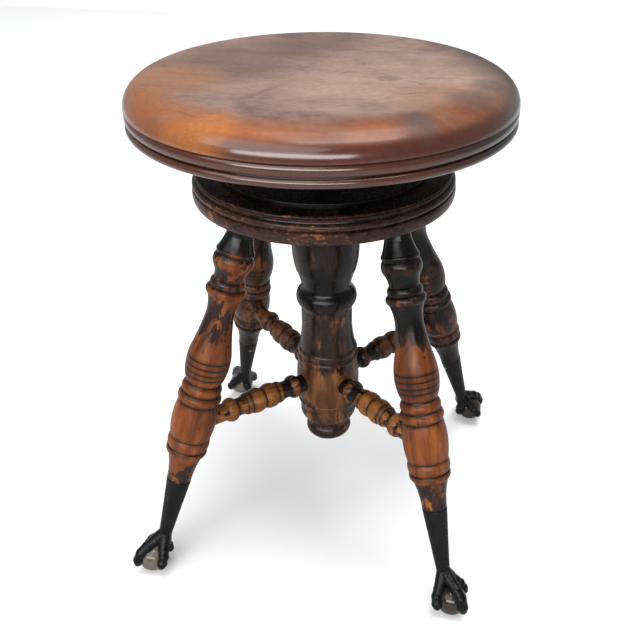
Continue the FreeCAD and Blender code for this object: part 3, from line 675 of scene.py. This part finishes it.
def japanned_foot(index):
    """Baked black varnish on iron.

    The eye gets a shank rubbed dull, with faint scales, and glossy black talons.
    """
    material, tree = new_material("japanned_iron_foot_" + leg_names[index])
    to_axis = leg_frame(index).inverted()
    spot = add(tree, "TexCoord").outputs["Object"]
    moved = add(tree, "Mapping", {"Location": to_axis.to_translation(),
                                  "Rotation": to_axis.to_euler("XYZ"), "Vector": spot})
    outward, across, level = add(tree, "SeparateXYZ", {0: moved}).outputs
    shank = add(tree, "MapRange", {"From Min": -0.356, "From Max": -0.348, "Value": level},
                interpolation_type="SMOOTHSTEP")
    skin = add(tree, "TexNoise", {"Scale": per_metre(1.111), "Detail": 4, "Vector": spot})
    rub = add(tree, "TexNoise", {"Scale": per_metre(7.692), "Detail": 4, "Vector": spot})

    # Scales: chevrons 4.5 mm apart down the outward face, 9 mm wide in all. The iron's skin
    # has grit 1.1 mm apart, coarser than real so that it shows, and is rubbed in 8 mm patches.
    side = add(tree, "Math", {0: across}, operation="ABSOLUTE")
    slant = add(tree, "Math", {0: side, 1: 0.9}, operation="MULTIPLY")
    rows = add(tree, "Math", {0: level, 1: slant})
    rows = add(tree, "Math", {0: rows, 1: 0.0045}, operation="DIVIDE")
    rows = add(tree, "Math", {0: rows}, operation="FRACT")
    rows = add(tree, "Math", {0: rows, 1: 0.5}, operation="SUBTRACT")
    rows = add(tree, "Math", {0: rows}, operation="ABSOLUTE")
    cut = add(tree, "MapRange", {"From Min": 0.30, "From Max": 0.12, "Value": rows},
              interpolation_type="SMOOTHSTEP")
    belt = add(tree, "MapRange", {"From Min": 0.0048, "From Max": 0.0036, "Value": side})
    front = add(tree, "Math", {0: outward, 1: 0.0}, operation="GREATER_THAN")
    for limit in (front, shank, belt):
        cut = add(tree, "Math", {0: cut, 1: limit}, operation="MULTIPLY")

    dull = add(tree, "ValToRGB", {"Fac": rub}, stops=[(0.35, "#050606"), (0.65, "#111210")])
    black = add(tree, "ValToRGB", {"Fac": rub}, stops=[(0.4, "#060607"), (0.75, "#16181a")])
    colour = add(tree, "Mix", {"Factor": shank, "A": black, "B": dull}, data_type="RGBA")
    colour = add(tree, "Mix", {"Factor": cut, "A": colour, "B": linear("#080808")},
                 data_type="RGBA")
    wear = add(tree, "MapRange", {"To Min": 0.10, "To Max": 0.26, "Value": rub})
    matt = add(tree, "Math", {0: shank, 1: 0.28}, operation="MULTIPLY")
    wear = add(tree, "Math", {0: wear, 1: matt})
    deep = add(tree, "Math", {0: cut, 1: -3.0}, operation="MULTIPLY")
    height = add(tree, "Math", {0: deep, 1: skin})
    bump = add(tree, "Bump", {"Strength": 0.7, "Distance": 0.0005, "Height": height})
    shader = add(tree, "BsdfPrincipled", {"Base Color": colour, "Roughness": wear,
                                          "Specular IOR Level": 0.2, "Normal": bump})
    add(tree, "OutputMaterial", {"Surface": shader})
    return material


for index, name in enumerate(leg_names):
    foot = new_piece("claw_" + name, claw_foot(index), japanned_foot(index),
                     "claw_foot_" + name, "base")
    casting = foot.modifiers.new("one_casting", "REMESH")
    casting.mode = "VOXEL"
    casting.voxel_size = 0.00045
    casting.use_smooth_shade = True
    soften = foot.modifiers.new("soft_sand_mould", "SMOOTH")
    soften.factor = 0.5
    soften.iterations = 4
dress("claw_foot_screws", screw_steel)


# Balls: pressed glass, held by the talons alone and worn a hair flat where they stand. They
# are grey, painted darker brown as shade on the right, and are scratched dull near the floor.
def pressed_glass(left, right):
    """Old glass. The eye gets a cloudy grey ball, painted darker brown as shade on the right, with a
    bright spot, dull below.

    Half of the light goes through it. The other half stands for the haze of fine scratches.
    Its waves are 8 mm apart.
    """
    material, tree = new_material("pressed_glass_grey")
    place = add(tree, "TexCoord").outputs["Object"]
    x, _, level = add(tree, "SeparateXYZ", {0: place}).outputs
    waves = add(tree, "TexNoise", {"Scale": per_metre(8.333), "Detail": 2, "Vector": place})
    tints = [add(tree, "ValToRGB", {"Fac": waves}, stops=[(0.3, dark), (0.7, light)])
             for dark, light in (left, right)]
    # Painted shade: balls on the right get the darker brown tint.
    shaded_right_side = add(tree, "Math", {0: x, 1: 0.0}, operation="GREATER_THAN")
    tint = add(tree, "Mix", {"Factor": shaded_right_side, "A": tints[0], "B": tints[1]},
               data_type="RGBA")
    scratched = add(tree, "MapRange", {"From Min": 0.012, "From Max": 0.0, "To Min": 0.10,
                                       "To Max": 0.45, "Value": level})
    bump = add(tree, "Bump", {"Strength": 0.15, "Distance": 0.0005, "Height": waves})
    shader = add(tree, "BsdfPrincipled", {"Base Color": tint, "Roughness": scratched, "IOR": 1.5,
                                          "Transmission Weight": 0.5, "Normal": bump})
    add(tree, "OutputMaterial", {"Surface": shader})
    return material


ball_glass = pressed_glass(("#6f685d", "#8f887b"), ("#2b211b", "#493b33"))
for index, name in enumerate(leg_names):
    ball = bmesh.new()
    bmesh.ops.create_uvsphere(ball, u_segments=64, v_segments=40, radius=ball_radius)
    bmesh.ops.translate(ball, vec=leg_corner(index) @ ball_place, verts=ball.verts)
    cut = bmesh.ops.bisect_plane(ball, geom=ball.verts[:] + ball.edges[:] + ball.faces[:],
                                 plane_co=(0, 0, 0), plane_no=(0, 0, -1), clear_outer=True)
    rim = [item for item in cut["geom_cut"] if isinstance(item, bmesh.types.BMEdge)]
    bmesh.ops.edgeloop_fill(ball, edges=rim)
    new_piece("ball_" + name, ball, ball_glass, "glass_ball_" + name, "base")

# Floor and background: matt white paper that runs into a white background and keeps the
# stool's shadow. Other rays than the camera's meet grey paper and a dim room, so that the
# black finish stays black.
floor_mesh = bpy.data.meshes.new("studio_floor")
sheet = bmesh.new()
bmesh.ops.create_grid(sheet, x_segments=1, y_segments=1, size=2.6)
sheet.to_mesh(floor_mesh)
sheet.free()
floor = bpy.data.objects.new("studio_floor", floor_mesh)
bpy.context.scene.collection.objects.link(floor)

paper, tree = new_material("white_paper")
place = add(tree, "TexCoord").outputs["Object"]
fibre = add(tree, "TexNoise", {"Scale": per_metre(2.5), "Vector": place})
white = add(tree, "MapRange", {"To Min": 0.96, "To Max": 1.0, "Value": fibre})
grey = add(tree, "Math", {0: white, 1: 0.5}, operation="MULTIPLY")
seen = add(tree, "LightPath").outputs["Is Camera Ray"]
shade = add(tree, "Mix", {"Factor": seen, "A": grey, "B": white})
shader = add(tree, "BsdfPrincipled", {"Base Color": shade, "Roughness": 0.9,
                                      "Specular IOR Level": 0.0})
add(tree, "OutputMaterial", {"Surface": shader})
floor_mesh.materials.append(paper)

world = bpy.data.worlds.new("studio")
bpy.context.scene.world = world
world.use_nodes = True
sky = world.node_tree
sky.nodes.clear()
rays = add(sky, "LightPath").outputs
seen = add(sky, "Math", {0: rays["Is Camera Ray"], 1: rays["Is Transmission Ray"]},
           operation="MAXIMUM")
room = add(sky, "Background", {"Color": linear("#f6f8fa"), "Strength": 0.34})
backdrop = add(sky, "Background", {"Color": linear("#ffffff"), "Strength": 1.0})
add(sky, "OutputWorld", {"Surface": add(sky, "MixShader", {0: seen, 1: room, 2: backdrop})})

# Lights: three soft boxes, each with its place and size in metres and its watts. One stands
# high in front on the left, one low in front draws the bright line on the seat's edge, and
# one hangs overhead.
for title, place, wide, high, power in (
        ("key_window", (-1.5, -2.8, 3.4), 4.8, 2.8, 84),
        ("low_front", (-0.25, -3.1, 1.5), 4.0, 0.9, 82),
        ("overhead", (0.4, 0.2, 5.0), 3.4, 3.4, 240)):
    lamp_data = bpy.data.lights.new(title, "AREA")
    lamp_data.shape = "RECTANGLE"
    lamp_data.size = wide
    lamp_data.size_y = high
    lamp_data.energy = power
    lamp = bpy.data.objects.new(title, lamp_data)
    bpy.context.scene.collection.objects.link(lamp)
    lamp.location = place
    lamp.rotation_euler = (Vector(place) - Vector((0, 0, 0.2))).to_track_quat("Z", "Y").to_euler()

# Camera: a little to the right of the stool's middle and looking down on the seat, as in the
# photograph. Its place was worked out from the outlines of the seat, the block and the balls.
camera_place = Vector((0.1588, -0.7190, 0.6848))
camera_pan = math.radians(9.76)
camera_tilt = math.radians(29.09)
camera_roll = math.radians(0.33)
camera_data = bpy.data.cameras.new("photograph")
camera_data.sensor_width = 36.0
camera_data.lens = 46.05
camera_data.shift_x = -0.0625
camera_data.shift_y = -0.0625
camera = bpy.data.objects.new("photograph", camera_data)
bpy.context.scene.collection.objects.link(camera)
turn = Matrix.Rotation(camera_pan, 3, "Z") @ Matrix.Rotation(math.pi / 2 - camera_tilt, 3, "X")
camera.matrix_world = (turn @ Matrix.Rotation(camera_roll, 3, "Z")).to_4x4()
camera.location = camera_place
bpy.context.scene.camera = camera
bpy.context.scene.view_settings.view_transform = "Standard"
